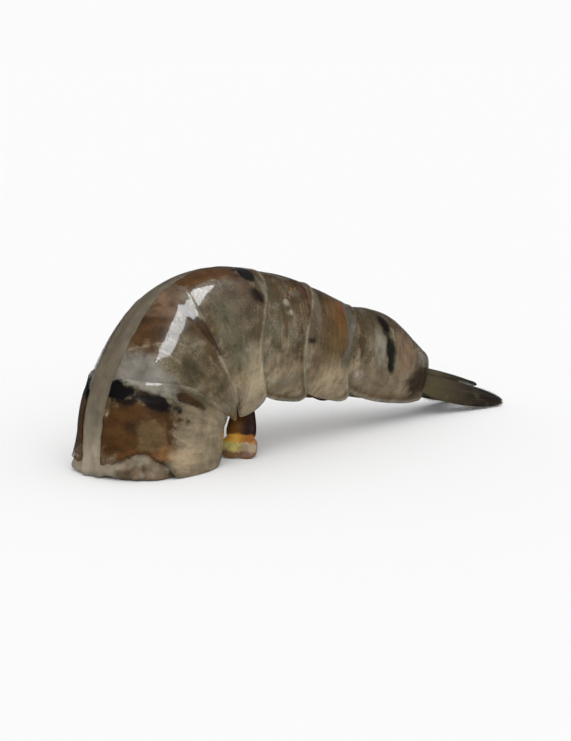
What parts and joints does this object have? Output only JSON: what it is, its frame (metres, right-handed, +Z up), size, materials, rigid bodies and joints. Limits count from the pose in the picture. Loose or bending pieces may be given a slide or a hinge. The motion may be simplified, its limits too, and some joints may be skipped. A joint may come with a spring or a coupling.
{
  "type": "raw tiger prawn tail",
  "caption": "Raw headless tiger prawn with its shell on, slit along the back, body curled in an arch with a folded tail fan, standing on its cut end and tail.",
  "frame": {"origin": "centre of the overall outline at the height of the surface it stands on", "axes": "+X from the cut head end toward the tail, +Y to the prawn's right side, +Z up"},
  "size_m": [0.0998, 0.0229, 0.0338],
  "materials": {
    "flesh": "wet, translucent bluish grey",
    "shell": "wet thin shell, translucent brown-grey with dark bands",
    "tail_fan": "wet, olive brown to black",
    "swimmerets": "wet, translucent amber brown"
  },
  "bodies": {
    "root": {"flesh": "flesh", "shell_1_left": "shell", "shell_1_right": "shell", "shell_2_left": "shell", "shell_2_right": "shell", "shell_3_left": "shell", "shell_3_right": "shell", "shell_4_left": "shell", "shell_4_right": "shell", "shell_5_left": "shell", "shell_5_right": "shell", "shell_6": "shell", "telson": "tail_fan", "uropod_left_inner": "tail_fan", "uropod_left_outer": "tail_fan", "uropod_right_inner": "tail_fan", "uropod_right_outer": "tail_fan", "pleopod_1_left": "swimmerets", "pleopod_1_right": "swimmerets", "pleopod_2_left": "swimmerets", "pleopod_2_right": "swimmerets", "pleopod_3_left": "swimmerets", "pleopod_3_right": "swimmerets", "pleopod_4_left": "swimmerets", "pleopod_4_right": "swimmerets", "pleopod_5_left": "swimmerets", "pleopod_5_right": "swimmerets"}
  },
  "joints": []
}
